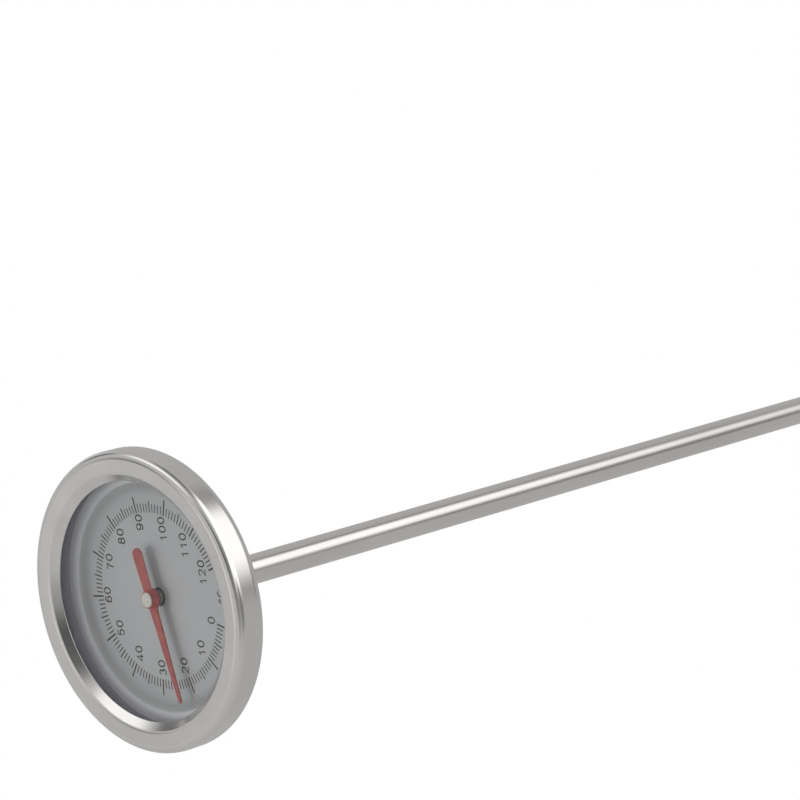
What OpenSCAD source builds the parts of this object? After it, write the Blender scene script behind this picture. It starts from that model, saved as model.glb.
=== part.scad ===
// Dial thermometer with a long immersion stem, a bimetal coil in the stem's tip
// and a friction-held head that turns on the stem for calibration.
// The dial faces -Y, its middle mark is at +Z, and the stem runs along +Y.
// The origin is on the stem's axis, where the stem leaves the calibration nut.

/* [Head] */
// Outside diameter of the bezel
head_d = 60; // [58:1:66]
// Height of the bezel's front shoulder over the dial's face
shoulder_h = 6.45; // [6.3:0.05:7]
// Depth of the bezel from its rear rim to its front shoulder
bezel_depth = 7.27; // [7.1:0.01:7.4]
// Thickness of the pressed steel sheet
sheet = 0.5; // [0.4:0.05:0.5]
// Outside radius of the bezel's front shoulder
shoulder_r = 1.7; // [1.4:0.1:1.9]
// Outside radius of the bezel's rear edge
rear_r = 2.35; // [2.1:0.05:2.5]
// Width of the bezel's flat front face
face_w = 2.4; // [1.8:0.1:2.6]
// Fall of the front face from the shoulder to the lip
face_fall = 0.15; // [0:0.05:0.2]
// Width of the bezel, from its side wall to the edge of its lip
bezel_w = 6.15; // [6:0.05:6.3]
// Slope of the bezel's lip, in degrees
lip_slope = 42; // [38:1:43]
// Thickness of the lens
lens_t = 0.7; // [0.6:0.05:0.75]
// Height of the bezel's lip over the lens
lens_seat = 0.2; // [0.15:0.05:0.25]

/* [Dial] */
// Distance from the head's side wall to the dial's raised rim
rim_inset = 5.4; // [5.2:0.1:5.8]
// Width of the cove between the dial's flat face and its rim
cove_w = 4; // [3.6:0.1:4.2]
// Height of the dial's raised rim over its face
dial_rim_h = 1.15; // [1:0.05:1.3]
// Thickness of the dial's sheet
dial_t = 0.4; // [0.3:0.05:0.4]
// Distance from the head's side wall to the inside of the lens's spacer ring
spacer_inset = 4.7; // [4.2:0.1:5]
// Lowest temperature on the scale, in degrees Celsius
scale_min = 0; // [-20:10:20]
// Highest temperature on the scale, in degrees Celsius
scale_max = 120; // [100:10:150]
// Angle that the scale covers, in degrees
scale_sweep = 323.5; // [300:0.5:330]
// Temperature that the pointer shows, in degrees Celsius
reading = 22.4; // [20:0.1:100]

/* [Pointer] */
// Length of the needle from the axis to its tip
needle_len = 21.1; // [18:0.1:22]
// Width of the needle beside the hub
needle_w = 2.3; // [1.8:0.1:2.4]
// Width of the needle's tip
needle_tip_w = 1; // [0.6:0.1:1.4]
// Length of the counterweight tail from the axis
tail_len = 10.3; // [8:0.1:12]
// Width of the tail's end
tail_w = 2.8; // [2.4:0.1:3.2]
// Height of the pointer's top over the dial
pointer_h = 2.3; // [2.2:0.05:2.4]
// Thickness of the pointer's sheet
pointer_t = 0.3; // [0.2:0.05:0.4]
// Diameter of the pointer's hub
hub_d = 4.3; // [3.8:0.1:5]
// Diameter of the boss on the pointer
boss_d = 3; // [2.6:0.1:3.2]
// Height of the boss's face over the dial
boss_h = 3.3; // [3.2:0.05:3.35]
// Height of the hub's collar over the dial
collar_h = 3.1; // [2.8:0.05:3.15]

/* [Stem] */
// Length of the stem behind the calibration nut
stem_len = 400; // [200:10:500]
// Outside diameter of the stem
stem_d = 6; // [6:0.5:6]
// Wall thickness of the stem tube
stem_wall = 0.5; // [0.4:0.05:0.5]
// Diameter of the spindle that carries the pointer
spindle_d = 1.2; // [1:0.1:1.4]
// Number of turns in the bimetal coil
coil_turns = 18; // [10:1:20]
// Rise of the bimetal coil in one turn
coil_pitch = 2.6; // [2.2:0.1:2.8]

/* [Back] */
// Distance across the flats of the calibration nut
nut_af = 11; // [10:0.5:12]
// Thickness of the calibration nut's hexagon
nut_t = 5; // [4:0.5:6]
// Depth of the case's flat back behind the dial's face
back_depth = 3.8; // [3.8:0.1:4.2]
// Distance from the head's side wall to the edge of the case's flat back
back_inset = 9; // [8.5:0.5:12]

/* [Tip cap] */
// Length of the cap over the stem's tip
cap_len = 21.5; // [18:0.5:26]
// Largest diameter of the cap, at its collar
cap_d = 7.75; // [7.4:0.05:8.4]
// Depth of stem inside the cap
cap_grip = 6.5; // [5:0.5:8]

/* [Hidden] */
$fn = 96;

press = 0.01;             // gap between pieces that are pressed together
running = 0.05;           // radial gap of a turning fit
gap = 0.05;               // gap between pieces of two bodies, face to face

head_r = head_d / 2;
rear_z = shoulder_h - bezel_depth;
shoulder_c = [head_r - shoulder_r, shoulder_h - shoulder_r];
rear_c = [head_r - rear_r, rear_z + rear_r];
rear_lip_r = head_r - 3.8;
lip_r = head_r - bezel_w;
crease_r = 1;
face_slope = atan(face_fall / face_w);
face_end = [shoulder_c[0] - face_w, shoulder_h - face_fall];
crease_c = face_end + crease_r * [sin(face_slope), -cos(face_slope)];
crease_end = crease_c + crease_r * [-sin(lip_slope), cos(lip_slope)];
lip_end = [lip_r, crease_end[1] - (crease_end[0] - lip_r) * tan(lip_slope)];
lip_back = lip_end + sheet * [sin(lip_slope), -cos(lip_slope)];

lens_front = lip_back[1] - lens_seat;
lens_back = lens_front - lens_t;
case_r = head_r - sheet - 0.1;
case_fillet = rear_r - sheet - 0.05;
case_c = [case_r - case_fillet, rear_z + sheet + 0.02 + case_fillet];
inner_r = case_r - sheet - 0.1;
rim_r = case_c[0] + 1.02;
dial_rim_r = head_r - rim_inset;
dial_flat_r = dial_rim_r - cove_w;
spacer_r = head_r - spacer_inset;

back_z = -back_depth;
centre_z = back_z + 0.6;
back_r = head_r - back_inset;
centre_r = 8;
nut_z = centre_z - 0.8;
nut_end_z = nut_z - nut_t;
dial_y = nut_end_z;
spigot_r = 4.5;
spigot_top = -0.9;
washer_t = 0.45;
case_floor = centre_z + sheet;

stem_r = stem_d / 2;
bore_r = stem_r - stem_wall;
shank_r = stem_r - 0.2;
plug_len = 7;
plug_spigot = 3;
nose_r = stem_r - 0.2;
anchor_len = 4;
tube_len = stem_len - plug_len;
spindle_r = spindle_d / 2;
coil_len = coil_turns * coil_pitch;
coil_r = 1.8;
strip_t = 0.2;
strip_w = 1.7;
coil_hub_r = coil_r - strip_t / 2 - 0.04;
anchor_y = tube_len - plug_spigot - anchor_len;
coil_end = anchor_y - 0.2;
coil_start = coil_end - coil_len;
hub_len = 6;
cap_y = stem_len - cap_grip;

degrees_per_unit = scale_sweep / (scale_max - scale_min);
pointer_turn = (reading - (scale_min + scale_max) / 2) * degrees_per_unit;

// Points of an arc about c from angle a0 to angle a1
function arc(c, r, a0, a1, n = 8) =
    [for (i = [0:n]) let (a = a0 + (a1 - a0) * i / n) c + r * [cos(a), sin(a)]];

// Puts a shape drawn about Z, with its front at +Z, on the head with its front at -Y
module on_head() {
    translate([0, dial_y, 0]) rotate([90, 0, 0]) children();
}

// Puts a shape drawn about Z on the stem, with +Z along the stem
module on_stem() {
    rotate([-90, 0, 0]) children();
}

// Solid ring of a rectangular section
module ring(r_out, r_in, z0, z1) {
    difference() {
        translate([0, 0, z0]) cylinder(r = r_out, h = z1 - z0);
        translate([0, 0, z0 - 1]) cylinder(r = r_in, h = z1 - z0 + 2);
    }
}

// ---- Stem ----

module stem_tube() {
    color("lightgray") on_stem() difference() {
        union() {
            cylinder(r = stem_r, h = tube_len);
            translate([0, 0, nut_end_z - spigot_top])
                cylinder(r = shank_r, h = spigot_top - nut_end_z);
        }
        translate([0, 0, nut_end_z - spigot_top - 1])
            cylinder(r = bore_r, h = tube_len + spigot_top - nut_end_z + 2);
    }
}

// Welded end of the stem, with a shouldered and rounded nose for the cap
module stem_tip_plug() {
    fillet = 1.2;
    color("silver") on_stem() rotate_extrude() polygon(concat(
        [[0, tube_len - plug_spigot], [bore_r - press, tube_len - plug_spigot],
            [bore_r - press, tube_len], [nose_r, tube_len]],
        arc([nose_r - fillet, stem_len - fillet], fillet, 0, 90),
        [[0, stem_len]]
    ));
}

// Hexagon brazed to the stem, with the spigot that the head turns on
module calibration_nut() {
    chamfer = 0.6;
    corner_r = nut_af / sqrt(3);
    color("silver") on_head() difference() {
        union() {
            intersection() {
                translate([0, 0, nut_end_z]) cylinder(r = corner_r, h = nut_t, $fn = 6);
                rotate_extrude() polygon([
                    [0, nut_end_z], [nut_af / 2, nut_end_z], [corner_r, nut_end_z + chamfer],
                    [corner_r, nut_z], [0, nut_z]
                ]);
            }
            translate([0, 0, nut_z]) cylinder(r = spigot_r, h = spigot_top - nut_z);
        }
        translate([0, 0, nut_end_z - 1]) cylinder(r = shank_r + press, h = spigot_top - nut_end_z + 2);
    }
}

// Thin hexagon nut on the spigot, inside the case
module clamp_nut() {
    clamp_af = 12;
    z0 = case_floor + washer_t + 0.05;
    color("goldenrod") on_head() difference() {
        translate([0, 0, z0]) cylinder(r = clamp_af / sqrt(3), h = spigot_top - z0, $fn = 6);
        translate([0, 0, z0 - 1]) cylinder(r = spigot_r + press, h = spigot_top - z0 + 2);
    }
}

// Coned spring washer that keeps the head firm on its spigot
module friction_washer() {
    r_in = spigot_r + press;
    r_out = 7.4;
    z0 = case_floor + gap;
    rise = washer_t - gap;
    t = 0.3;
    color("gray") on_head() rotate_extrude() polygon([
        [r_in, z0 + rise - t], [r_in, z0 + rise], [r_out, z0 + t], [r_out, z0]
    ]);
}

// Rubber washer between the case and the calibration nut
module back_seal() {
    color("black") on_head() ring(5.4, spigot_r + press, nut_z, centre_z - gap);
}

// Bush in the head's end of the stem, whose neck shows in the dial's hole
module upper_bearing() {
    neck_r = 1.6;
    neck_top = 0.9;
    bush_len = 6;
    chamfer = 0.4;
    color("whitesmoke") on_head() rotate_extrude() polygon([
        [spindle_r + running, spigot_top - bush_len],
        [bore_r - press, spigot_top - bush_len],
        [bore_r - press, spigot_top],
        [neck_r, spigot_top],
        [neck_r, neck_top - chamfer],
        [neck_r - chamfer, neck_top],
        [spindle_r + running, neck_top]
    ]);
}

// Plain bush that keeps the spindle central, y0 along the stem
module guide_bush(y0) {
    bush_len = 4;
    color("white") on_stem() ring(bore_r - press, spindle_r + running, y0, y0 + bush_len);
}

module guide_bush_upper() {
    guide_bush(coil_start * 0.3);
}

module guide_bush_middle() {
    guide_bush(coil_start * 0.62);
}

module guide_bush_lower() {
    guide_bush(coil_start - hub_len - 6);
}

// Slug in the tip that grips the coil's fixed end
module coil_anchor() {
    grip = 3;
    color("darkkhaki") on_stem() {
        translate([0, 0, anchor_y - grip]) cylinder(r = coil_hub_r, h = grip);
        translate([0, 0, anchor_y]) cylinder(r = bore_r - press, h = anchor_len - press);
    }
}

// Bimetal strip wound into a helix
module bimetal_coil() {
    steps = 20;
    n = coil_turns * steps;
    r0 = coil_r - strip_t / 2;
    r1 = coil_r + strip_t / 2;
    travel = coil_len - strip_w;
    section = [[r0, 0], [r1, 0], [r1, strip_w], [r0, strip_w]];
    points = [for (i = [0:n], p = section)
        let (a = 360 * i / steps, y = coil_start + travel * i / n)
        [p[0] * cos(a), p[0] * sin(a), y + p[1]]];
    sides = [for (i = [0:n - 1], k = [0:3])
        let (a = 4 * i + k, b = 4 * i + (k + 1) % 4)
        [a, a + 4, b + 4, b]];
    color("peru") on_stem()
        polyhedron(points, concat(sides, [[0, 1, 2, 3], [4 * n + 3, 4 * n + 2, 4 * n + 1, 4 * n]]));
}

// ---- Head ----

// Stamped ring: rear lip, side wall, shoulder, front face and sloping inner lip
module bezel() {
    outer = concat(
        [[rear_lip_r, rear_z]],
        arc(rear_c, rear_r, -90, 0, 10),
        arc(shoulder_c, shoulder_r, 0, 90, 10),
        arc(crease_c, crease_r, 90 + face_slope, 90 + lip_slope, 6),
        [lip_end]
    );
    inner = concat(
        [lip_back],
        arc(crease_c, crease_r - sheet, 90 + lip_slope, 90 + face_slope, 6),
        arc(shoulder_c, shoulder_r - sheet, 90, 0, 10),
        arc(rear_c, rear_r - sheet, 0, -90, 10),
        [[rear_lip_r, rear_z + sheet]]
    );
    color("silver") on_head() rotate_extrude() polygon(concat(outer, inner));
}

// Pressed cup: recessed centre, flat back, stepped wall and upright rim
module back_case() {
    step_top_r = rear_lip_r - 0.6;
    rim_z = rear_z + sheet + 0.02;
    outer = concat(
        [[spigot_r + 0.06, centre_z], [centre_r, centre_z], [centre_r + 1, back_z], [back_r, back_z],
            [back_r + 0.8, back_z + 0.4], [step_top_r - 0.4, rim_z - 0.4], [step_top_r, rim_z]],
        arc(case_c, case_fillet, -90, 0),
        [[case_r, lens_front - 0.05]]
    );
    inner = concat(
        [[case_r - sheet, lens_front - 0.05]],
        arc(case_c, case_fillet - sheet, 0, -90),
        [[step_top_r - 0.2, rim_z + sheet], [back_r + 0.4, back_z + sheet + 0.3],
            [back_r - 0.1, back_z + sheet], [centre_r + 1.1, back_z + sheet],
            [centre_r + 0.1, case_floor], [spigot_r + 0.06, case_floor]]
    );
    color("darkgray") on_head() rotate_extrude() polygon(concat(outer, inner));
}

// Flat glass, held between the spacer ring and the bezel's lip
module lens() {
    color("lightcyan", 0.35) on_head() rotate_extrude() polygon([
        [0, lens_back], [inner_r, lens_back], [inner_r, lens_front - 0.2],
        [inner_r - 0.2, lens_front], [0, lens_front]
    ]);
}

// Rubber ring that presses the lens back, under the bezel's front face and lip
module lens_gasket() {
    top = shoulder_h - face_fall - sheet - 0.05;
    r_in = lip_back[0] + 0.27;
    under_lip = (r_in - lip_back[0]) * tan(lip_slope);
    color("dimgray") on_head() rotate_extrude() polygon([
        [r_in, lens_front], [case_r, lens_front], [case_r, shoulder_c[1]],
        [shoulder_c[0] + 0.3, top], [crease_c[0] + 0.15, top],
        [crease_c[0] - 0.26, top - 0.13], [r_in, lip_back[1] + under_lip - 0.06]
    ]);
}

// Dark ring that holds the dial's rim down and carries the lens
module spacer_ring() {
    color("dimgray") on_head() ring(inner_r, spacer_r, dial_rim_h, lens_back);
}

// Dial pan with a coved rim and a hole for the bearing's neck
module dial_plate() {
    hole_r = 1.8;
    // Rise from the flat to the rim: a hollow arc, then a rounded one
    steep = 2 * atan(dial_rim_h / cove_w);
    both_r = cove_w / sin(steep);
    hollow_r = both_r * 0.56;
    rise = concat(
        arc([dial_flat_r, hollow_r], hollow_r, -90, steep - 90),
        arc([dial_rim_r, dial_rim_h - both_r + hollow_r], both_r - hollow_r, 90 + steep, 90)
    );
    under = [for (i = [len(rise) - 1:-1:0]) rise[i] + [dial_t * 0.3, -dial_t]];
    color("lightsteelblue") on_head() rotate_extrude() polygon(concat(
        [[hole_r, 0]], rise, [[rim_r, dial_rim_h], [rim_r, dial_rim_h - dial_t]],
        under, [[hole_r, -dial_t]]
    ));
}

// ---- Pointer ----

// Needle along +X and tail along -X, on a hub with a short skirt and a collar
module pointer() {
    skirt = 0.5;
    tip_r = needle_tip_w / 2;
    tail_r = tail_w / 2;
    z0 = pointer_h - pointer_t;
    color("firebrick") on_head() rotate([0, 0, 90 - pointer_turn]) difference() {
        union() {
            translate([0, 0, z0]) linear_extrude(pointer_t) polygon(concat(
                [[0, -needle_w / 2]],
                arc([needle_len - tip_r, 0], tip_r, -90, 90),
                [[0, needle_w / 2]],
                arc([tail_r - tail_len, 0], tail_r, 90, 270, 12)
            ));
            translate([0, 0, z0 - skirt]) cylinder(r = hub_d / 2, h = pointer_t + skirt);
            translate([0, 0, z0])
                cylinder(r1 = boss_d / 2 + 0.4, r2 = boss_d / 2 + 0.2, h = collar_h - z0);
        }
        translate([0, 0, z0 - skirt - 1]) cylinder(r = boss_d / 2 + press, h = collar_h);
    }
}

// Turned boss pressed on the spindle, with a centre dimple in its face
module pointer_boss() {
    foot = 1.4;
    chamfer = 0.15;
    dimple = 0.25;
    socket = 2.9;
    color("ivory") on_head() rotate_extrude() polygon([
        [spindle_r + press, foot], [boss_d / 2, foot], [boss_d / 2, boss_h - chamfer],
        [boss_d / 2 - chamfer, boss_h], [0.35, boss_h], [0.1, boss_h - dimple],
        [0, boss_h - dimple], [0, socket], [spindle_r + press, socket]
    ]);
}

module spindle() {
    top = 2.88;
    color("silver") on_stem() translate([0, 0, nut_end_z - top])
        cylinder(r = spindle_r, h = coil_start - 1 + top - nut_end_z);
}

// Sleeve that joins the spindle to the coil's moving end
module coil_hub() {
    grip = 3;
    color("darkkhaki") on_stem() difference() {
        translate([0, 0, coil_start - hub_len + grip]) cylinder(r = coil_hub_r, h = hub_len);
        translate([0, 0, coil_start - hub_len + grip - 1])
            cylinder(r = spindle_r + press, h = hub_len - grip + press);
    }
}

// ---- Tip cap ----

// Soft cap: flared collar, waist, long taper and a blunt round end
module tip_cap() {
    r = cap_d / 2;
    mouth_r = r * 0.87;
    bore = nose_r + 0.04;
    // Length along the cap and outside radius, as shares of the whole
    shape = [[0.02, 0.91], [0.06, 0.975], [0.1, 1], [0.14, 0.985], [0.2, 0.945], [0.27, 0.88],
        [0.34, 0.835], [0.42, 0.808], [0.51, 0.8], [0.6, 0.77], [0.68, 0.715], [0.76, 0.65],
        [0.84, 0.58], [0.915, 0.515]];
    end_r = 0.515 * r;
    color("red") on_stem() translate([0, 0, cap_y]) rotate_extrude() polygon(concat(
        [[bore, 0], [mouth_r, 0]],
        [for (p = shape) [p[1] * r, p[0] * cap_len]],
        arc([end_r - 1.2, cap_len - 1.2], 1.2, 30, 90, 5),
        [[0, cap_len], [0, cap_grip + 0.3], [bore, cap_grip + 0.3]]
    ));
}

stem_tube();
stem_tip_plug();
calibration_nut();
clamp_nut();
friction_washer();
back_seal();
upper_bearing();
guide_bush_upper();
guide_bush_middle();
guide_bush_lower();
coil_anchor();
bimetal_coil();
bezel();
back_case();
lens();
lens_gasket();
spacer_ring();
dial_plate();
pointer();
pointer_boss();
spindle();
coil_hub();
tip_cap();
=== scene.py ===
# Looks of the dial thermometer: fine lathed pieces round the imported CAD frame,
# procedural materials, printed scale, soft studio light and the camera.
import math
import bmesh
import bpy
from mathutils import Matrix, Vector


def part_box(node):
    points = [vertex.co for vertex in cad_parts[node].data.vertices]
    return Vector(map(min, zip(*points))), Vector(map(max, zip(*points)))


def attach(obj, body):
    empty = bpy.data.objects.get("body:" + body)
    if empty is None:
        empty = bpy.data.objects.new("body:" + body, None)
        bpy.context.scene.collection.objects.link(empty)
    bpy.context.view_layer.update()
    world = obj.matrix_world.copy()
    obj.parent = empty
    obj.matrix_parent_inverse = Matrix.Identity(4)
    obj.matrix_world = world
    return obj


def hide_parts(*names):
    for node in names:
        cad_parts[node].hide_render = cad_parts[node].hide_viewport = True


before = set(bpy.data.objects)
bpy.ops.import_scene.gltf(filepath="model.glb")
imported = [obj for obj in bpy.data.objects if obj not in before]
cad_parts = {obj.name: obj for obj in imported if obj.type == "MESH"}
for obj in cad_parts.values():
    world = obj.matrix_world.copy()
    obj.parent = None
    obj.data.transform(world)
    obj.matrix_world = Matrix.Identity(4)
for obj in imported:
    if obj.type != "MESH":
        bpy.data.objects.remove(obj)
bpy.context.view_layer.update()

MM = 0.001
EDGE = 0.9999  # keeps a piece's outermost points inside the CAD box

# ---- Sizes in mm: places come from the frame, and thicknesses repeat the CAD part's ----
head_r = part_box("bezel")[1].x / MM
front_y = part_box("bezel")[0].y / MM
shoulder_h = 6.45  # from the dial's face to the bezel's front
dial_y = front_y + shoulder_h
sheet = 0.5  # of the bezel and the case
stem_r = 3.0
nose_r = stem_r - 0.2  # of the tube's neck and the welded end
bore_r = 2.5
tube_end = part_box("stem_tube")[1].y / MM
stem_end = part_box("stem_tip_plug")[1].y / MM
cap_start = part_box("tip_cap")[0].y / MM
cap_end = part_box("tip_cap")[1].y / MM
cap_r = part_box("tip_cap")[1].x / MM


# ---- Outline helpers: points are (radius, height) in mm ----
def arc(cx, cy, r, a0, a1, n=12):
    out = []
    for i in range(n + 1):
        a = math.radians(a0 + (a1 - a0) * i / n)
        out.append((cx + r * math.cos(a), cy + r * math.sin(a)))
    return out


def soften(points, r, n=3, sharp=25.0):
    """Rounds the sharp corners of a closed outline by radius r."""
    out = []
    count = len(points)
    for i in range(count):
        a = Vector(points[i - 1])
        b = Vector(points[i])
        c = Vector(points[(i + 1) % count])
        u = a - b
        v = c - b
        if b.x < 1e-6 or u.length < 1e-9 or v.length < 1e-9:
            out.append(tuple(b))
            continue
        turn = 180.0 - math.degrees(u.angle(v))
        if turn < sharp:
            out.append(tuple(b))
            continue
        half = u.angle(v) / 2
        cut = min(r / math.tan(half), 0.4 * u.length, 0.4 * v.length)
        p = b + u.normalized() * cut
        q = b + v.normalized() * cut
        for k in range(n + 1):
            t = k / n
            s = (1 - t) * (1 - t) * p + 2 * t * (1 - t) * b + t * t * q
            out.append(tuple(s))
    return out


def hold(points, near=0.05):
    """Adds a point close to both ends of each long straight, to keep its shading flat."""
    out = []
    count = len(points)
    for i in range(count):
        a = Vector(points[i])
        b = Vector(points[(i + 1) % count])
        out.append(tuple(a))
        d = b - a
        if d.length > 8 * near and a.x > 1e-6 and b.x > 1e-6:
            step = d.normalized() * near
            out += [tuple(a + step), tuple(b - step)]
    return out


def on_head(r, z, c, s):
    """Radius and height over the dial, turned by a cosine and sine, to metres."""
    return (r * c * MM, (dial_y - z) * MM, r * s * MM)


def on_stem(r, y, c, s):
    """The same with the height along the stem."""
    return (r * c * MM, y * MM, r * s * MM)


def finish_mesh(name, bm, sharp=35.0):
    bmesh.ops.recalc_face_normals(bm, faces=bm.faces)
    mesh = bpy.data.meshes.new(name)
    bm.to_mesh(mesh)
    bm.free()
    mesh.shade_smooth()
    mesh.set_sharp_from_angle(angle=math.radians(sharp))
    obj = bpy.data.objects.new(name, mesh)
    bpy.context.scene.collection.objects.link(obj)
    return obj


def spin(bm, outline, place, segs):
    """Turns a closed outline about the Y axis."""
    rings = []
    for r, h in hold(outline):
        if r < 1e-6:
            rings.append([bm.verts.new(place(0, h, 1, 0))])
            continue
        ring = []
        for k in range(segs):
            a = 2 * math.pi * k / segs
            ring.append(bm.verts.new(place(r * EDGE, h, math.cos(a), math.sin(a))))
        rings.append(ring)
    count = len(rings)
    for i in range(count):
        p, q = rings[i], rings[(i + 1) % count]
        if len(p) == 1 and len(q) == 1:
            continue
        for k in range(segs):
            m = (k + 1) % segs
            if len(p) == 1:
                bm.faces.new((p[0], q[m], q[k]))
            elif len(q) == 1:
                bm.faces.new((p[k], p[m], q[0]))
            else:
                bm.faces.new((p[k], p[m], q[m], q[k]))


def lathe(name, outline, place, segs=160, sharp=35.0):
    bm = bmesh.new()
    spin(bm, outline, place, segs)
    return finish_mesh(name, bm, sharp)


# ---- Materials ----
class Graph:
    """Short calls that add nodes to a node tree."""

    def __init__(self, tree):
        self.tree = tree

    def node(self, kind, **values):
        n = self.tree.nodes.new(kind)
        for k, v in values.items():
            setattr(n, k, v)
        return n

    def link(self, a, b):
        self.tree.links.new(a, b)

    def math(self, op, a, b=None):
        n = self.node("ShaderNodeMath", operation=op)
        for i, x in enumerate((a, b)):
            if x is None:
                continue
            if isinstance(x, (int, float)):
                n.inputs[i].default_value = x
            else:
                self.link(x, n.inputs[i])
        return n.outputs[0]

    def remap(self, value, start, end, low, high, kind="LINEAR"):
        """Runs from low to high as value goes from start to end."""
        n = self.node("ShaderNodeMapRange", interpolation_type=kind)
        n.inputs["From Min"].default_value = start
        n.inputs["From Max"].default_value = end
        n.inputs["To Min"].default_value = low
        n.inputs["To Max"].default_value = high
        self.link(value, n.inputs["Value"])
        return n.outputs["Result"]


class Look(Graph):
    """A procedural material: noise drives its colour, roughness and relief."""

    def __init__(self, name, color, rough, metal=0.0):
        self.mat = bpy.data.materials.new(name)
        self.mat.use_nodes = True
        super().__init__(self.mat.node_tree)
        self.shader = self.tree.nodes["Principled BSDF"]
        self.put("Base Color", (*color, 1.0))
        self.put("Roughness", rough)
        self.put("Metallic", metal)

    def put(self, socket, value):
        self.shader.inputs[socket].default_value = value

    def drive(self, output, socket):
        self.link(output, self.shader.inputs[socket])

    def coords(self):
        return self.node("ShaderNodeTexCoord").outputs["Object"]

    def round_y(self):
        """The distance from the Y axis, and then the coordinates."""
        sep = self.node("ShaderNodeSeparateXYZ")
        self.link(self.coords(), sep.inputs[0])
        x, y, z = sep.outputs
        squares = self.math("ADD", self.math("MULTIPLY", x, x), self.math("MULTIPLY", z, z))
        return self.math("SQRT", squares), x, y, z

    def noise(self, size, detail=3.0, stretch=(1, 1, 1)):
        """Plain noise; size is its count of cells a metre."""
        m = self.node("ShaderNodeMapping")
        m.inputs["Scale"].default_value = stretch
        self.link(self.coords(), m.inputs["Vector"])
        n = self.node("ShaderNodeTexNoise")
        n.inputs["Scale"].default_value = size
        n.inputs["Detail"].default_value = detail
        n.inputs["Roughness"].default_value = 0.55
        self.link(m.outputs["Vector"], n.inputs["Vector"])
        return n.outputs["Fac"]

    def turned(self, lines=9000.0, sweep=1.6, detail=4.0):
        """Noise drawn out round the Y axis, as turning or ring brushing leaves it."""
        r, x, y, z = self.round_y()
        safe = self.math("MAXIMUM", r, 1e-5)
        comb = self.node("ShaderNodeCombineXYZ")
        self.link(self.math("MULTIPLY", r, lines), comb.inputs[0])
        self.link(self.math("MULTIPLY", y, lines), comb.inputs[1])
        self.link(self.math("MULTIPLY", self.math("DIVIDE", x, safe), sweep), comb.inputs[2])
        n = self.node("ShaderNodeTexNoise", noise_dimensions="4D")
        n.inputs["Scale"].default_value = 1.0
        n.inputs["Detail"].default_value = detail
        self.link(comb.outputs[0], n.inputs["Vector"])
        self.link(self.math("MULTIPLY", self.math("DIVIDE", z, safe), sweep), n.inputs["W"])
        return n.outputs["Fac"]

    def tint(self, fac, low, high):
        """Base colour runs between two colours with fac."""
        n = self.node("ShaderNodeValToRGB")
        for stop, at, color in zip(n.color_ramp.elements, (0.3, 0.7), (low, high)):
            stop.position = at
            stop.color = (*color, 1.0)
        self.link(fac, n.inputs["Fac"])
        self.drive(n.outputs["Color"], "Base Color")

    def gloss(self, fac, low, high):
        """Roughness runs between two values with fac."""
        self.drive(self.remap(fac, 0.3, 0.7, low, high), "Roughness")

    def relief(self, fac, depth, strength):
        """Bump of a depth in mm."""
        n = self.node("ShaderNodeBump")
        n.inputs["Strength"].default_value = strength
        n.inputs["Distance"].default_value = depth * MM
        self.link(fac, n.inputs["Height"])
        self.drive(n.outputs["Normal"], "Normal")

    def brushed(self, amount, rotation=0.0):
        t = self.node("ShaderNodeTangent", direction_type="RADIAL", axis="Y")
        self.drive(t.outputs[0], "Tangent")
        self.put("Anisotropic", amount)
        self.put("Anisotropic Rotation", rotation)


def around(color, share):
    """A colour made darker and lighter by a share."""
    low = tuple(c * (1 - share) for c in color)
    high = tuple(min(1.0, c * (1 + share)) for c in color)
    return low, high


def ring_steel(name, color, rough, aniso, depth=0.0015):
    k = Look(name, color, rough, 1.0)
    grain = k.turned()
    k.tint(k.noise(90.0), *around(color, 0.04))
    k.gloss(grain, rough * 0.92, rough * 1.1)
    k.relief(grain, depth, 0.5)
    k.brushed(aniso)
    return k


def long_steel(name, color, rough, aniso):
    k = Look(name, color, rough, 1.0)
    grain = k.noise(9000.0, 4.0, (1, 0.012, 1))
    k.tint(k.noise(120.0, 3.0, (1, 0.3, 1)), *around(color, 0.04))
    k.gloss(grain, rough * 0.8, rough * 1.3)
    k.relief(grain, 0.0015, 0.5)
    k.brushed(aniso, 0.25)
    return k


def cast_metal(name, color, rough):
    k = Look(name, color, rough, 1.0)
    fine = k.noise(2500.0, 4.0)
    k.tint(k.noise(300.0, 2.0), *around(color, 0.08))
    k.gloss(fine, rough * 0.8, rough * 1.25)
    k.relief(fine, 0.004, 0.5)
    return k


def moulded(name, color, rough):
    k = Look(name, color, rough)
    fine = k.noise(1800.0)
    k.tint(k.noise(180.0, 2.0), *around(color, 0.07))
    k.gloss(fine, rough * 0.85, rough * 1.15)
    k.relief(fine, 0.006, 0.4)
    return k


bezel_steel = ring_steel("bezel_steel", (0.79, 0.785, 0.775), 0.18, 0.2, 0.0005)
case_steel = ring_steel("case_steel", (0.72, 0.71, 0.70), 0.32, 0.3)
nut_steel = ring_steel("nut_steel", (0.72, 0.71, 0.69), 0.27, 0.3, 0.003)
stem_steel = long_steel("stem_steel", (0.80, 0.78, 0.765), 0.17, 0.3)
bright_steel = ring_steel("bright_steel", (0.82, 0.81, 0.79), 0.12, 0.2)
spring_steel = cast_metal("spring_steel", (0.45, 0.44, 0.42), 0.3)
brass = cast_metal("brass", (0.72, 0.52, 0.24), 0.28)
bimetal = cast_metal("bimetal", (0.60, 0.50, 0.42), 0.34)
# The bearing's steel is made dark as painted shade: it stands for the shaded underside of the
# hub that the bush mirrors.
bearing_steel_painted_shade = ring_steel("bearing_steel_painted_shade", (0.26, 0.24, 0.21), 0.08, 0.0, 0.0005)
boss_metal = ring_steel("boss_metal", (0.86, 0.85, 0.79), 0.45, 0.1, 0.003)
rubber = moulded("black_rubber", (0.03, 0.03, 0.032), 0.6)
spacer_plastic = moulded("spacer_plastic", (0.37, 0.365, 0.41), 0.6)
white_plastic = moulded("white_plastic", (0.75, 0.74, 0.70), 0.4)

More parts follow.
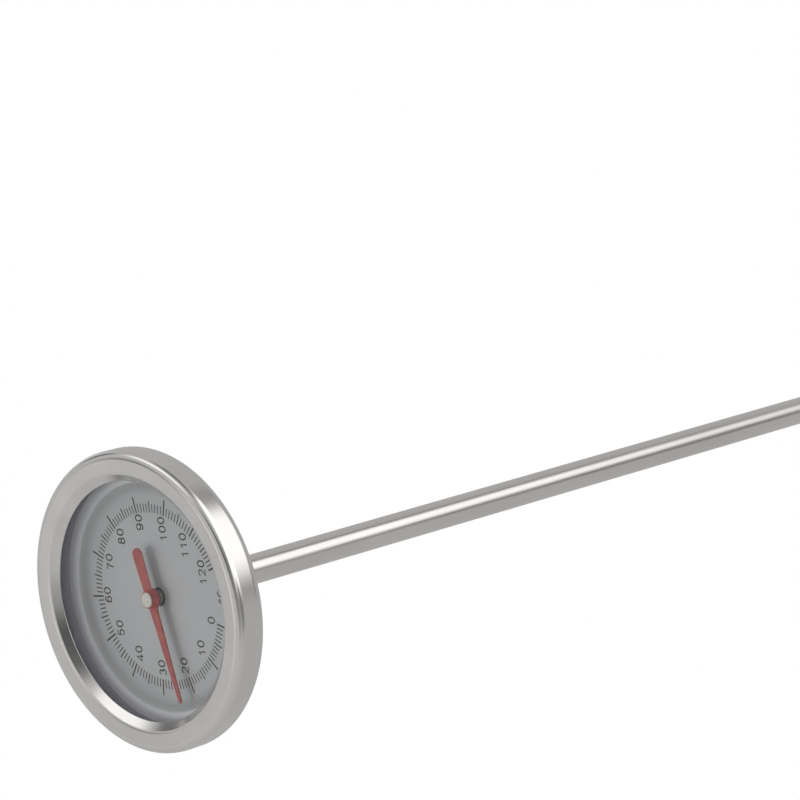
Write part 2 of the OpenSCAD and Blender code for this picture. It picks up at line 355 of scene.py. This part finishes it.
DIAL_SPAN = 30.0
DIAL_SHADE_AND_LIGHT = [  # radius in mm and brightness: painted shade in the fold, and painted light on the rim
    (0.0, 0.63), (20.2, 0.63), (21.8, 0.50), (22.7, 0.58), (23.1, 0.96), (DIAL_SPAN, 0.96),
]


def dial_look():
    """Fine grit over a tone that changes with radius, with painted shade in the fold and painted
    light on the rim, and less metallic at the rim.
    """
    k = Look("dial_aluminium", (0.60, 0.595, 0.63), 0.42, 0.3)
    radius = k.round_y()[0]
    # The ramp paints shade into the fold near the cove and light onto the rim.
    shade_and_light_ramp = k.node("ShaderNodeValToRGB")
    while len(shade_and_light_ramp.color_ramp.elements) < len(DIAL_SHADE_AND_LIGHT):
        shade_and_light_ramp.color_ramp.elements.new(0.5)
    for stop, (r, tone) in zip(shade_and_light_ramp.color_ramp.elements, DIAL_SHADE_AND_LIGHT):
        stop.position = r / DIAL_SPAN
        stop.color = (tone, tone * 0.99, tone * 1.04, 1.0)
    k.link(k.math("DIVIDE", radius, DIAL_SPAN * MM), shade_and_light_ramp.inputs["Fac"])
    k.drive(k.remap(radius, 21.5 * MM, 23.5 * MM, 0.3, 0.1, "SMOOTHSTEP"), "Metallic")
    shade = k.node("ShaderNodeVectorMath", operation="SCALE")
    k.link(shade_and_light_ramp.outputs["Color"], shade.inputs[0])
    k.link(k.remap(k.noise(60.0, 2.0), 0.0, 1.0, 0.96, 1.04), shade.inputs["Scale"])
    k.drive(shade.outputs["Vector"], "Base Color")
    grit = k.noise(9000.0, 4.0)
    k.gloss(grit, 0.36, 0.5)
    k.relief(grit, 0.003, 0.5)
    return k


def clear_look():
    """A thin clear sheet that mirrors more towards its edges; it doesn't bend light."""
    k = Look("lens_glass", (1, 1, 1), 0.02)
    k.tree.nodes.remove(k.shader)
    clear = k.node("ShaderNodeBsdfTransparent")
    clear.inputs["Color"].default_value = (0.97, 0.98, 0.975, 1.0)
    shine = k.node("ShaderNodeBsdfGlossy")
    shine.inputs["Color"].default_value = (1, 1, 1, 1)
    shine.inputs["Roughness"].default_value = 0.03
    facing = k.node("ShaderNodeLayerWeight").outputs["Facing"]
    edge = k.math("MULTIPLY", k.math("POWER", facing, 5.0), 0.9)
    both = k.node("ShaderNodeMixShader")
    k.link(k.math("ADD", edge, 0.03), both.inputs[0])
    k.link(clear.outputs[0], both.inputs[1])
    k.link(shine.outputs[0], both.inputs[2])
    k.link(both.outputs[0], k.tree.nodes["Material Output"].inputs["Surface"])
    return k


dial_paint = dial_look()
glass = clear_look()

pointer_red = Look("pointer_red", (0.55, 0.10, 0.095), 0.42)
paint = pointer_red.noise(3000.0)
pointer_red.tint(pointer_red.noise(500.0, 2.0), (0.50, 0.085, 0.082), (0.60, 0.12, 0.11))
pointer_red.gloss(paint, 0.36, 0.5)
pointer_red.relief(paint, 0.004, 0.5)

# The pointer's bare underside is kept dark as painted shade, so it throws little red light into
# its shadow on the dial.
pointer_bare_painted_shade = cast_metal("pointer_bare_painted_shade", (0.16, 0.17, 0.19), 0.5)

vinyl = Look("red_vinyl", (0.72, 0.01, 0.01), 0.26)
skin = vinyl.noise(700.0, 3.0, (1, 0.6, 1))
vinyl.tint(vinyl.noise(250.0, 2.0), (0.66, 0.008, 0.008), (0.78, 0.014, 0.012))
vinyl.gloss(skin, 0.2, 0.32)
vinyl.relief(skin, 0.012, 0.4)
vinyl.put("Specular IOR Level", 0.35)
vinyl.put("Subsurface Weight", 0.2)
vinyl.put("Subsurface Scale", 0.001)
vinyl.put("Subsurface Radius", (1.0, 0.2, 0.1))

ink = Look("scale_ink", (0.035, 0.035, 0.04), 0.6)
blot = ink.noise(6000.0)
ink.tint(blot, (0.03, 0.03, 0.034), (0.055, 0.055, 0.06))
ink.gloss(blot, 0.5, 0.7)
ink.relief(blot, 0.002, 0.4)


def dress(obj, body, look, slot, *nodes):
    """Gives a piece its material and body, and hides the CAD nodes that it stands for. The slot
    is not used.
    """
    obj.data.materials.clear()
    obj.data.materials.append(look.mat)
    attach(obj, body)
    if nodes:
        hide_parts(*nodes)
    return obj


def bevelled(obj, width, segments, angle):
    m = obj.modifiers.new("edges", "BEVEL")
    m.width = width * MM
    m.segments = segments
    m.limit_method = "ANGLE"
    m.angle_limit = math.radians(angle)


# ---- Head ----
face_w = 2.4
face_fall = 0.15  # of the bezel's face, over its width
lip_slope = 42.0
shoulder_round = 1.7
rear_round = 2.35
crease_round = 1.0  # where the face turns down into the lip
lens_seat = 0.2  # from the lens up to the lip's back
lens_t = 0.7
gap = 0.1  # between the bezel, the case and what the case holds
rear_z = shoulder_h - 7.27
rear_in = head_r - 3.8
shoulder_c = (head_r - shoulder_round, shoulder_h - shoulder_round)
rear_c = (head_r - rear_round, rear_z + rear_round)
face_slope = math.degrees(math.atan(face_fall / face_w))
face_end = (shoulder_c[0] - face_w, shoulder_h - face_fall)
crease = (
    face_end[0] + crease_round * math.sin(math.radians(face_slope)),
    face_end[1] - crease_round * math.cos(math.radians(face_slope)),
)
slope = math.radians(lip_slope)
crease_end = (
    crease[0] - crease_round * math.sin(slope),
    crease[1] + crease_round * math.cos(slope),
)
lip_r = head_r - 6.15
lip_end = (lip_r, crease_end[1] - (crease_end[0] - lip_r) * math.tan(slope))
lip_back = (lip_end[0] + sheet * math.sin(slope), lip_end[1] - sheet * math.cos(slope))
lens_front = lip_back[1] - lens_seat
lens_back = lens_front - lens_t
rim_z = rear_z + sheet + 0.02
case_r = head_r - sheet - gap
case_fillet = rear_round - sheet - 0.05
case_c = (case_r - case_fillet, rim_z + case_fillet)
inner_r = case_r - sheet - gap

outline = [(rear_in, rear_z)]
outline += arc(*rear_c, rear_round, -90, 0, 20)
outline += arc(*shoulder_c, shoulder_round, 0, 90, 24)
outline += arc(*crease, crease_round, 90 + face_slope, 90 + lip_slope, 14)
outline += [lip_end, lip_back]
outline += arc(*crease, crease_round - sheet, 90 + lip_slope, 90 + face_slope, 10)
outline += arc(*shoulder_c, shoulder_round - sheet, 90, 0, 16)
outline += arc(*rear_c, rear_round - sheet, 0, -90, 16)
outline += [(rear_in, rear_z + sheet)]
dress(
    lathe("bezel_ring", soften(outline, 0.12), on_head, 256, 50.0),
    "head", bezel_steel, "bezel_steel", "bezel",
)

step_r = head_r - 4.4
centre_z = -3.2
spigot_r = 4.56  # the hole for the nut's spigot
case_outline = [
    (spigot_r, centre_z), (8.0, centre_z), (9.0, -3.8), (21.0, -3.8), (21.8, -3.4),
    (step_r - 0.4, rim_z - 0.4), (step_r, rim_z),
]
case_outline += arc(*case_c, case_fillet, -90, 0, 12)
case_outline += [(case_r, lens_front - 0.05), (case_r - sheet, lens_front - 0.05)]
case_outline += arc(*case_c, case_fillet - sheet, 0, -90, 12)
case_outline += [
    (step_r - 0.2, rim_z + sheet), (21.4, -3.0), (20.9, -3.3), (9.1, -3.3),
    (8.1, centre_z + sheet), (spigot_r, centre_z + sheet),
]
dress(
    lathe("case_shell", soften(case_outline, 0.3, 4), on_head, 192, 50.0),
    "head", case_steel, "case_steel", "back_case",
)

lens_outline = [(0, lens_back), (inner_r, lens_back), (inner_r, lens_front - 0.2),
                (inner_r - 0.2, lens_front), (0, lens_front)]
dress(
    lathe("lens_disc", soften(lens_outline, 0.06), on_head, 160),
    "head", glass, "lens_glass", "lens",
)

gasket_top = shoulder_h - face_fall - sheet - 0.05
gasket_inset = 0.27
gasket_in = lip_back[0] + gasket_inset
gasket_high = lip_back[1] + gasket_inset * math.tan(slope) - 0.06
gasket = [(gasket_in, lens_front), (case_r, lens_front), (case_r, shoulder_c[1]),
          (shoulder_c[0] + 0.3, gasket_top), (crease[0] + 0.15, gasket_top),
          (crease[0] - 0.26, gasket_top - 0.13), (gasket_in, gasket_high)]
dress(lathe("gasket_ring", soften(gasket, 0.06), on_head, 192), "head", rubber,
      "black_rubber", "lens_gasket")

rim_h = 1.15  # of the dial's rim over its face
spacer_in = head_r - 4.7
spacer = [(spacer_in, rim_h), (inner_r, rim_h), (inner_r, lens_back), (spacer_in, lens_back)]
dress(lathe("spacer_band", soften(spacer, 0.08), on_head, 192), "head", spacer_plastic,
      "spacer_plastic", "spacer_ring")

rim_in = head_r - 5.4
rim_out = case_c[0] + 1.02
cove_w = 4.0
dial_t = 0.4
flat_r = rim_in - cove_w
hollow_share = 0.56  # of the cove's rise that curves in, before it rounds over
steep = 2 * math.degrees(math.atan(rim_h / cove_w))
both_r = cove_w / math.sin(math.radians(steep))
hollow_r = both_r * hollow_share
cove = arc(flat_r, hollow_r, hollow_r, -90, steep - 90, 20)
cove += arc(rim_in, rim_h - both_r + hollow_r, both_r - hollow_r, 90 + steep, 90, 20)[1:]
under = [(r + dial_t * 0.3, z - dial_t) for r, z in reversed(cove)]
dial = [(1.8, 0.0), (10.0, 0.0)] + cove + [(rim_out, rim_h), (rim_out, rim_h - dial_t)]
dial += under + [(1.8, -dial_t)]
dress(lathe("dial_pan", soften(dial, 0.06), on_head, 192), "head", dial_paint,
      "dial_aluminium", "dial_plate")


# ---- Printed scale ----
PRINT_Z = 0.012  # height of the ink over the dial
SWEEP = 323.5
LOWEST, HIGHEST = 0, 120
MIDDLE = (LOWEST + HIGHEST) / 2
READING = 22.4
ROUND = 24  # points of a closed ring


def scale_angle(value):
    """Angle from the top of the dial, clockwise, in radians."""
    return math.radians((value - MIDDLE) * SWEEP / (HIGHEST - LOWEST))


def dial_point(x, y):
    return Vector((x * MM, (dial_y - PRINT_Z) * MM, y * MM))


def ribbon(bm, points, width, closed=False):
    """A flat line of ink along points on the dial."""
    n = len(points)
    pts = [Vector(p) for p in points]
    left, right = [], []
    for i, p in enumerate(pts):
        before = pts[i - 1] if (i > 0 or closed) else None
        after = pts[(i + 1) % n] if (i < n - 1 or closed) else None
        dirs = []
        if before is not None and (p - before).length > 1e-9:
            dirs.append((p - before).normalized())
        if after is not None and (after - p).length > 1e-9:
            dirs.append((after - p).normalized())
        d = sum(dirs, Vector((0, 0)))
        d = d.normalized() if d.length > 1e-6 else dirs[0]
        side = Vector((-d.y, d.x))
        stretch = 1.0 / max(0.6, abs(side.dot(Vector((-dirs[0].y, dirs[0].x)))))
        w = width / 2 * stretch
        left.append(bm.verts.new(dial_point(*(p + side * w))))
        right.append(bm.verts.new(dial_point(*(p - side * w))))
    for i in range(n if closed else n - 1):
        k = (i + 1) % n
        bm.faces.new((left[i], left[k], right[k], right[i]))


def oval(cx, cy, rx, ry, a0=0.0, a1=360.0, n=ROUND):
    out = []
    for i in range(n + 1):
        a = math.radians(a0 + (a1 - a0) * i / n)
        out.append((cx + rx * math.cos(a), cy + ry * math.sin(a)))
    return out


def loop(cx, cy, rx, ry):
    return oval(cx, cy, rx, ry)[:-1]


def strokes(ch):
    """The lines of a digit or a C, on a cell about 1.2 wide and 1.84 high, centred."""
    if ch == "0":
        return [loop(0, 0, 0.58, 0.92)]
    if ch == "1":
        return [[(-0.36, 0.46), (-0.08, 0.62), (0.12, 0.92), (0.12, -0.98)]]
    if ch == "2":
        return [oval(0, 0.4, 0.54, 0.52, 165, -35, 14) + [(-0.58, -0.9), (0.6, -0.9)]]
    if ch == "3":
        return [oval(0, 0.46, 0.46, 0.46, 150, -90, 12), oval(0, -0.42, 0.54, 0.5, 90, -155, 14)]
    if ch == "4":
        return [[(0.3, -0.98), (0.3, 0.9), (-0.6, -0.4), (0.68, -0.4)]]
    if ch == "5":
        bowl = oval(0, -0.32, 0.56, 0.6, 140, -155, 14)
        return [[(0.5, 0.9), (-0.34, 0.9), (-0.48, 0.02)] + bowl]
    if ch == "6":
        return [loop(0, -0.34, 0.55, 0.58), oval(0.05, 0.0, 0.6, 0.92, 180, 35, 12)]
    if ch == "7":
        return [[(-0.58, 0.9), (0.56, 0.9), (0.2, 0.35), (-0.05, -0.25), (-0.16, -0.98)]]
    if ch == "8":
        return [loop(0, 0.46, 0.46, 0.45), loop(0, -0.44, 0.56, 0.5)]
    if ch == "9":
        return [loop(0, 0.34, 0.55, 0.58), oval(-0.05, 0.0, 0.6, 0.92, 0, -145, 12)]
    return [oval(0, 0, 0.62, 0.92, 48, 312, 18)]


PITCH = 1.72
INK = 0.3
NUMERALS_R = 16.4
TICK_IN = 16.75
TICKS = ((10, 20.0, 0.34), (5, 19.0, 0.28), (1, 18.5, 0.23))  # every, outer radius, width


def write(bm, text, cx, cy):
    """Upright digits, centred on a point of the dial."""
    x0 = cx - PITCH * (len(text) - 1) / 2
    for i, ch in enumerate(text):
        for line in strokes(ch):
            first, last = Vector(line[0]), Vector(line[-1])
            closed = len(line) == ROUND and (first - last).length < 0.4
            ribbon(bm, [(x0 + PITCH * i + x, cy + y) for x, y in line], INK, closed)


ticks = bmesh.new()
for value in range(LOWEST, HIGHEST + 1):
    a = scale_angle(value)
    c, s = math.sin(a), math.cos(a)
    end, width = next((r, w) for every, r, w in TICKS if value % every == 0)
    ribbon(ticks, [(TICK_IN * c, TICK_IN * s), (end * c, end * s)], width)
dress(finish_mesh("scale_ticks", ticks), "head", ink, "dial_aluminium")

numerals = bmesh.new()
for value in range(LOWEST, HIGHEST + 1, 10):
    a = scale_angle(value)
    nx, ny = math.sin(a), math.cos(a)
    reach = (PITCH * len(str(value)) / 2 - 0.15) * abs(nx) + 1.05 * abs(ny)
    r = NUMERALS_R - reach
    write(numerals, str(value), 0.25 + r * nx, r * ny)
dress(finish_mesh("scale_numerals", numerals), "head", ink, "dial_aluminium")

unit = bmesh.new()
ribbon(unit, loop(-0.75, -17.75, 0.3, 0.3), 0.2, True)
write(unit, "C", 0.75, -18.4)
dress(finish_mesh("scale_unit", unit), "head", ink, "dial_aluminium")


# ---- Pointer ----
def pointer_piece():
    """A flat needle and tail on a thicker hub, with a collar round the boss."""
    turn = math.pi / 2 - scale_angle(READING)
    ct, st = math.cos(turn), math.sin(turn)
    half_w, tip_r, length = 1.15, 0.5, 21.1
    tail_r, tail_len = 1.4, 10.3
    hub, hole = 2.15, 1.51
    top, under_z, foot = 2.3, 2.0, 1.5
    bm = bmesh.new()
    made = {}

    def vert(x, y, z):
        key = (round(x, 5), round(y, 5), round(z, 5))
        if key not in made:
            made[key] = bm.verts.new(on_head(1, z, x * ct - y * st, x * st + y * ct))
        return made[key]

    def meet(p, q):
        """Where the line from p to q leaves the hub's circle."""
        d = (q[0] - p[0], q[1] - p[1])
        a = d[0] ** 2 + d[1] ** 2
        b = 2 * (p[0] * d[0] + p[1] * d[1])
        c = p[0] ** 2 + p[1] ** 2 - hub ** 2
        t = (-b + math.sqrt(b * b - 4 * a * c)) / (2 * a)
        return math.atan2(p[1] + t * d[1], p[0] + t * d[0])

    needle_a = meet((0, half_w), (length - tip_r, tip_r))
    tail_a = meet((0, half_w), (tail_r - tail_len, tail_r))

    def hub_arc(a0, a1, n):
        return [a0 + (a1 - a0) * i / n for i in range(n + 1)]

    parts = [
        hub_arc(-needle_a, needle_a, 10), hub_arc(needle_a, tail_a, 14),
        hub_arc(tail_a, 2 * math.pi - tail_a, 12),
        hub_arc(2 * math.pi - tail_a, 2 * math.pi - needle_a, 14),
    ]

    def on(a, r):
        return (r * math.cos(a), r * math.sin(a))

    tips = [
        arc(length - tip_r, 0, tip_r, -90, 90, 10), None,
        arc(tail_r - tail_len, 0, tail_r, 90, 270, 18), None,
    ]
    for angles, tip in zip(parts, tips):
        for a, b in zip(angles, angles[1:]):
            o1, o2, i1, i2 = on(a, hub), on(b, hub), on(a, hole), on(b, hole)
            bm.faces.new((vert(*i1, top), vert(*o1, top), vert(*o2, top), vert(*i2, top)))
            bm.faces.new((vert(*i1, foot), vert(*i2, foot), vert(*o2, foot), vert(*o1, foot)))
            bm.faces.new((vert(*i1, top), vert(*i2, top), vert(*i2, foot), vert(*i1, foot)))
            high = under_z if tip else top
            bm.faces.new((vert(*o1, high), vert(*o1, foot), vert(*o2, foot), vert(*o2, high)))
        if not tip:
            continue
        rim = [on(a, hub) for a in angles]
        border = tip + rim[::-1]
        bm.faces.new([vert(*p, top) for p in border])
        bm.faces.new([vert(*p, under_z) for p in border[::-1]])
        chain = [rim[0]] + tip + [rim[-1]]
        for p, q in zip(chain, chain[1:]):
            bm.faces.new((vert(*p, top), vert(*q, top), vert(*q, under_z), vert(*p, under_z)))
    bmesh.ops.remove_doubles(bm, verts=bm.verts, dist=1e-7)
    collar = [(1.515, 2.2), (1.9, 2.2), (1.9, 2.35), (1.7, 3.1), (1.515, 3.1)]
    spin(bm, soften(collar, 0.05), on_head, 64)
    return finish_mesh("pointer_blade", bm)


blade = dress(pointer_piece(), "pointer", pointer_red, "pointer_red", "pointer")
blade.data.materials.append(pointer_bare_painted_shade.mat)
for face in blade.data.polygons:
    if face.normal.y > 0.7:  # the unpainted underside, kept dark as painted shade so it throws little red light into the pointer's shadow
        face.material_index = 1
bevelled(blade, 0.13, 3, 40)

boss = [(0.61, 1.4), (1.5, 1.4), (1.5, 3.18), (1.38, 3.3), (0.6, 3.3), (0.42, 3.26),
        (0.22, 3.14), (0, 3.08), (0, 2.9), (0.61, 2.9)]
dress(lathe("boss_turned", soften(boss, 0.05), on_head, 96, 40.0), "pointer", boss_metal,
      "boss_metal", "pointer_boss")

bearing = [(0.65, -6.9), (2.49, -6.9), (2.49, -0.9), (1.6, -0.9)]
bearing += arc(1.15, 0.45, 0.45, 0, 180, 16) + [(0.65, 0.2)]
dress(lathe("bearing_turned", soften(bearing, 0.04), on_head, 96, 40.0), "stem",
      bearing_steel_painted_shade, "bright_steel", "upper_bearing")


# ---- Stem and cap ----
neck = dial_y + 0.9
tube = [(bore_r, neck), (nose_r, neck), (nose_r, 0.0), (stem_r, 0.0)]
tube_rings = 24
for i in range(1, tube_rings + 1):
    tube.append((stem_r, tube_end * i / tube_rings))
tube.append((bore_r, tube_end))
dress(lathe("stem_skin", soften(tube, 0.08), on_stem, 128, 40.0), "stem", stem_steel,
      "stem_steel", "stem_tube")

plug_in = tube_end - 3
plug = [(0, plug_in), (bore_r - 0.01, plug_in), (bore_r - 0.01, tube_end),
        (nose_r, tube_end)] + arc(nose_r - 1.2, stem_end - 1.2, 1.2, 0, 90, 14) + [(0, stem_end)]
dress(lathe("plug_nose", soften(plug, 0.06), on_stem, 96, 40.0), "stem", stem_steel,
      "stem_steel", "stem_tip_plug")

cap_len = cap_end - cap_start
cap_bore = 2.84
cap_depth = 6.8
end_round = 0.8
# The cap's outline: share of its length, share of its radius
shape = [(0.0, 0.87), (0.02, 0.915), (0.06, 0.975), (0.1, 1.0), (0.14, 0.985), (0.2, 0.945),
         (0.27, 0.88), (0.34, 0.835), (0.42, 0.808), (0.51, 0.8), (0.6, 0.77), (0.68, 0.715),
         (0.76, 0.65), (0.84, 0.58), (0.915, 0.515)]


def smooth_curve(points, per=4):
    """Catmull-Rom through the points."""
    out = []
    n = len(points)
    for i in range(n - 1):
        p = [Vector(points[max(0, min(n - 1, i + k))]) for k in (-1, 0, 1, 2)]
        for k in range(per):
            t = k / per
            q = 0.5 * (2 * p[1] + (p[2] - p[0]) * t
                       + (2 * p[0] - 5 * p[1] + 4 * p[2] - p[3]) * t * t
                       + (3 * p[1] - p[0] - 3 * p[2] + p[3]) * t ** 3)
            out.append(tuple(q))
    out.append(tuple(points[-1]))
    return out


cap = [(cap_bore, cap_start)]
cap += [(min(s, 1.0) * cap_r, cap_start + t * cap_len) for t, s in smooth_curve(shape)]
cap += arc(0.5 * cap_r - end_round, cap_end - end_round, end_round, 15, 90, 8)
cap += [(0, cap_end), (0, cap_start + cap_depth), (cap_bore, cap_start + cap_depth)]
dress(lathe("cap_skin", soften(cap, 0.1), on_stem, 128, 40.0), "cap", vinyl,
      "red_vinyl", "tip_cap")

# ---- CAD nodes that show as they are: look, and bevel in mm ----
KEPT = {
    "calibration_nut": (nut_steel, 0.15), "clamp_nut": (brass, 0.1),
    "friction_washer": (spring_steel, 0.05), "back_seal": (rubber, 0.08),
    "guide_bush_upper": (white_plastic, 0.08), "guide_bush_middle": (white_plastic, 0.08),
    "guide_bush_lower": (white_plastic, 0.08), "coil_anchor": (brass, 0.06),
    "coil_hub": (brass, 0.06), "bimetal_coil": (bimetal, 0.0), "spindle": (bright_steel, 0.05),
}
for name, (look, edge) in KEPT.items():
    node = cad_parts[name]
    node.data.materials.clear()
    node.data.materials.append(look.mat)
    if edge:
        bevelled(node, edge, 2, 35)

# ---- Floor, light and camera ----
floor_mesh = bpy.data.meshes.new("floor")
span = 12.0
floor_mesh.from_pydata(
    [(-span, -span, 0), (span, -span, 0), (span, span, 0), (-span, span, 0)], [], [(0, 1, 2, 3)])
floor = bpy.data.objects.new("floor", floor_mesh)
floor.location = (0, 0, -2.2)
bpy.context.scene.collection.objects.link(floor)
pale = Look("floor_pale", (0.9, 0.9, 0.9), 0.8)
pale.tint(pale.noise(3.0, 2.0), (0.88, 0.88, 0.88), (0.9, 0.9, 0.9))
pale.put("Emission Color", (1, 1, 1, 1))
pale.put("Emission Strength", 0.5)
floor_mesh.materials.append(pale.mat)
floor.visible_glossy = False
floor.visible_diffuse = False

scene = bpy.context.scene
scene.view_settings.view_transform = "Standard"
world = bpy.data.worlds.new("studio")
scene.world = world
world.use_nodes = True
studio = Graph(world.node_tree)
studio.tree.nodes.clear()
ray = studio.node("ShaderNodeTexCoord").outputs["Generated"]


def towards(az, el):
    """The direction of an azimuth and elevation in degrees; azimuth 0 is -Y."""
    a, e = math.radians(az), math.radians(el)
    return Vector((math.sin(a) * math.cos(e), -math.cos(a) * math.cos(e), math.sin(e)))


def dot(v):
    """How far a ray points along v."""
    n = studio.node("ShaderNodeVectorMath", operation="DOT_PRODUCT")
    studio.link(ray, n.inputs[0])
    n.inputs[1].default_value = v
    return n.outputs["Value"]


def fade(value, start, end):
    """1 at start, falling smoothly to 0 at end."""
    return studio.remap(value, start, end, 1.0, 0.0, "SMOOTHSTEP")


def panel(az, el, wide, high, soft, tilt):
    """Mask of a soft-edged panel with rounded corners; half sizes in degrees."""
    d = towards(az, el)
    u = Vector((math.cos(math.radians(az)), math.sin(math.radians(az)), 0))
    w = u.cross(d) * -1
    t = math.radians(tilt)
    u, w = u * math.cos(t) + w * math.sin(t), w * math.cos(t) - u * math.sin(t)
    f = studio.math("MAXIMUM", dot(d), 0.001)
    shares = []
    for axis, half in ((u, wide), (w, high)):
        size = math.tan(math.radians(half))
        q = studio.math("ABSOLUTE", studio.math("DIVIDE", dot(axis), f))
        shares.append(studio.math("POWER", studio.math("DIVIDE", q, size), 3.0))
    q = studio.math("POWER", studio.math("ADD", *shares), 1 / 3)
    front = fade(studio.math("MULTIPLY", dot(d), -1.0), -0.15, -0.02)
    return studio.math("MULTIPLY", fade(q, 1 - soft, 1 + soft), front)


AMBIENT = 0.50
level = studio.math("MULTIPLY", dot(Vector((0, -1, 0))), 0.05)
level = studio.math("ADD", level, AMBIENT)
# Panels of the studio: azimuth, elevation, half width, half height, softness, tilt, power
DARK = [
    (23, -25, 22, 8, 0.45, 22, 0.8),
    (2, -46, 26, 17, 0.5, 0, 0.5),
    (82, -2, 10, 20, 0.5, -8, 0.7),
    (-100, -80, 24, 16, 0.4, 0, 0.5),
    (78, 58, 9, 10, 0.3, 0, 0.7),
    (176, -43, 9, 7, 0.6, 0, 0.55),
    (131, -11, 9, 7, 0.6, 0, 0.3),
    (8, 44, 9, 8, 0.8, 0, 0.75),
]
KEY = (-3, 31, 9, 9, 0.5, 0, 4.4)
KEY_IN_METAL = 0.06  # share of the key that mirrors show
BRIGHT = [
    (54, 19, 9, 22, 0.35, -20, 0.68),
    (115, -52, 34, 32, 0.2, 0, 0.9),
    (42, -70, 14, 10, 0.4, 0, 0.6),
    (150, 66, 32, 8, 0.4, 0, 0.16),
]
for *place, power in DARK:
    shadow = studio.math("MULTIPLY", panel(*place), power)
    level = studio.math("MULTIPLY", level, studio.math("SUBTRACT", 1.0, shadow))
for *place, power in BRIGHT:
    level = studio.math("ADD", level, studio.math("MULTIPLY", panel(*place), power))

seen = studio.node("ShaderNodeLightPath")
dim = studio.math("MULTIPLY", seen.outputs["Is Glossy Ray"], 1.0 - KEY_IN_METAL)
*place, power = KEY
key = studio.math("MULTIPLY", panel(*place), power)
key = studio.math("MULTIPLY", key, studio.math("SUBTRACT", 1.0, dim))
level = studio.math("ADD", level, key)

# The camera sees plain white behind the object, and everything else sees the studio
light = studio.node("ShaderNodeBackground")
light.inputs["Color"].default_value = (1.0, 0.99, 0.98, 1.0)
studio.link(level, light.inputs["Strength"])
white = studio.node("ShaderNodeBackground")
white.inputs["Color"].default_value = (1, 1, 1, 1)
white.inputs["Strength"].default_value = 1.0
pick = studio.node("ShaderNodeMixShader")
studio.link(seen.outputs["Is Camera Ray"], pick.inputs[0])
studio.link(light.outputs[0], pick.inputs[1])
studio.link(white.outputs[0], pick.inputs[2])
studio.link(pick.outputs[0], studio.node("ShaderNodeOutputWorld").inputs["Surface"])

cam_data = bpy.data.cameras.new("camera")
cam_data.lens = 158.596
cam_data.sensor_width = 36.0
cam_data.clip_start, cam_data.clip_end = 0.01, 50.0
camera = bpy.data.objects.new("camera", cam_data)
scene.collection.objects.link(camera)
DISTANCE, AZIMUTH, ELEVATION, ROLL = 687.51, 13.073, -49.596, -92.60
eye = Vector((0, dial_y, 0)) + towards(AZIMUTH, ELEVATION) * DISTANCE
aim = Vector((30.575, 30.630, -33.960))
turn = (aim - eye).to_track_quat("-Z", "Y").to_matrix().to_4x4()
camera.matrix_world = (
    Matrix.Translation(eye * MM) @ turn @ Matrix.Rotation(math.radians(ROLL), 4, "Z")
)
scene.camera = camera
